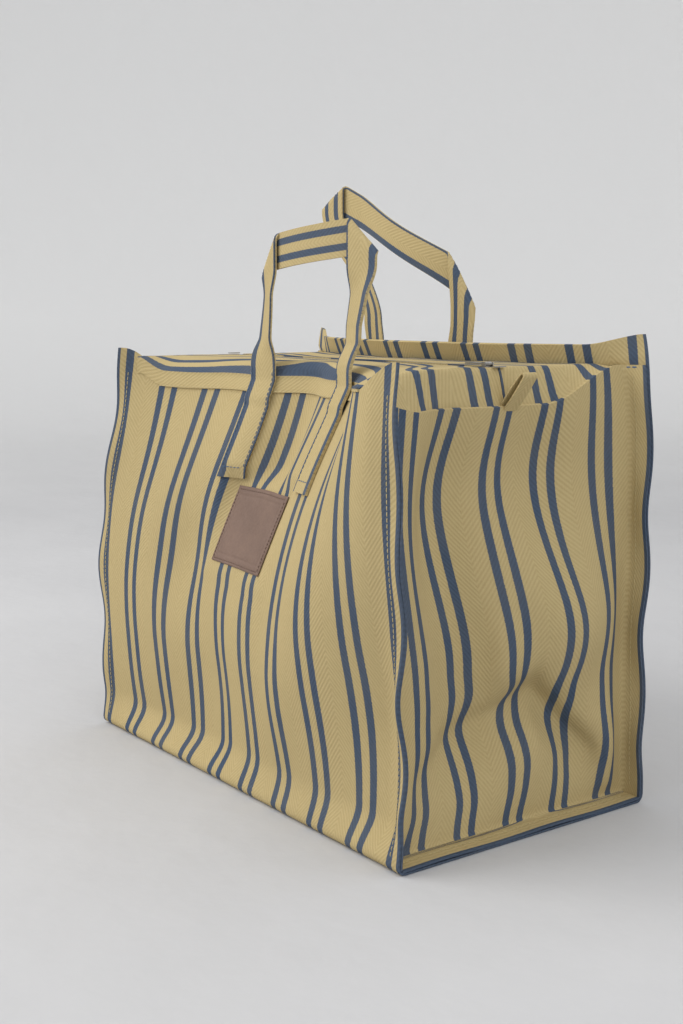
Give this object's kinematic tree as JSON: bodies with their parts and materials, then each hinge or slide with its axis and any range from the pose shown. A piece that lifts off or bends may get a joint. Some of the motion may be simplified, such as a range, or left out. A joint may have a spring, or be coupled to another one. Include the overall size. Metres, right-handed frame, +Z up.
{
  "type": "zip-top cloth bag",
  "caption": "Boxy striped cloth bag with flanged corner seams, a zipped top deck whose halves drop inward, and two swinging strap handles.",
  "frame": {"origin": "middle of the base, on the surface the bag stands on", "axes": "+X along the bag's length, +Y from the front with the patch to the back, +Z up"},
  "size_m": [0.5076, 0.293, 0.5525],
  "materials": {
    "ticking": "herringbone twill, straw yellow with pairs of blue stripes, matt",
    "deck_cloth": "the same twill with stripes along the zip, matt",
    "strap_cloth": "doubled twill strap, yellow with blue stripes, matt",
    "zipper_tape": "woven tape, dark grey, matt",
    "zipper_teeth": "moulded coil, near black, satin",
    "zipper_metal": "nickel-plated, satin",
    "thread": "spun thread, straw, matt",
    "blue_thread": "spun thread, blue, matt",
    "brown_thread": "waxed thread, brown, satin",
    "leather": "taupe-brown smooth leather, fine grain, satin"
  },
  "bodies": {
    "bag": {"body_wrap": "ticking", "left_gusset": "ticking", "right_gusset": "ticking", "front_zip_panel": "deck_cloth", "back_zip_panel": "deck_cloth", "zipper_stops": "zipper_metal", "left_zip_tab": "deck_cloth", "right_zip_tab": "deck_cloth", "front_left_handle_leg": "strap_cloth", "front_right_handle_leg": "strap_cloth", "back_left_handle_leg": "strap_cloth", "back_right_handle_leg": "strap_cloth", "front_leg_stitching": "blue_thread", "back_leg_stitching": "blue_thread", "leather_patch": "leather", "patch_stitching": "brown_thread", "front_top_stitching": "thread", "left_seam_stitching": "thread", "right_seam_stitching": "thread"},
    "front_flap": {"front_mouth_flap": "deck_cloth", "front_zipper_tape": "zipper_tape", "front_zipper_teeth": "zipper_teeth"},
    "back_flap": {"back_mouth_flap": "deck_cloth", "back_zipper_tape": "zipper_tape", "back_zipper_teeth": "zipper_teeth"},
    "slider": {"zipper_slider": "zipper_metal"},
    "pull": {"zipper_pull": "zipper_metal"},
    "front_loop": {"front_handle": "strap_cloth"},
    "back_loop": {"back_handle": "strap_cloth"}
  },
  "joints": [
    {"name": "zip_slide", "type": "slide", "parent": "bag", "child": "slider", "axis": [-1, 0, 0], "range_m": [0, 0.37]},
    {"name": "pull_swing", "type": "hinge", "parent": "slider", "child": "pull", "pos_m": [0.19, 0, 0.3905], "axis": [0, 1, 0], "range_deg": [0, 170]},
    {"name": "front_flap_fold", "type": "hinge", "parent": "bag", "child": "front_flap", "pos_m": [0, -0.058, 0.3863], "axis": [-1, 0, 0], "range_deg": [0, 68], "deforming": ["front_zipper_teeth", "front_zipper_tape"]},
    {"name": "back_flap_fold", "type": "hinge", "parent": "bag", "child": "back_flap", "pos_m": [0, 0.058, 0.3863], "axis": [1, 0, 0], "range_deg": [0, 68], "deforming": ["back_zipper_teeth", "back_zipper_tape"]},
    {"name": "front_handle_swing", "type": "hinge", "parent": "bag", "child": "front_loop", "pos_m": [0, -0.08341, 0.3913], "axis": [1, 0, 0], "range_deg": [-25, 135]},
    {"name": "back_handle_swing", "type": "hinge", "parent": "bag", "child": "back_loop", "pos_m": [0, 0.07308, 0.408], "axis": [-1, 0, 0], "range_deg": [-25, 135]}
  ],
  "couplings": [
    {"joint": "front_flap_fold", "follows": "zip_slide", "rad_per_m": 3.2},
    {"joint": "back_flap_fold", "follows": "zip_slide", "rad_per_m": 3.2}
  ]
}
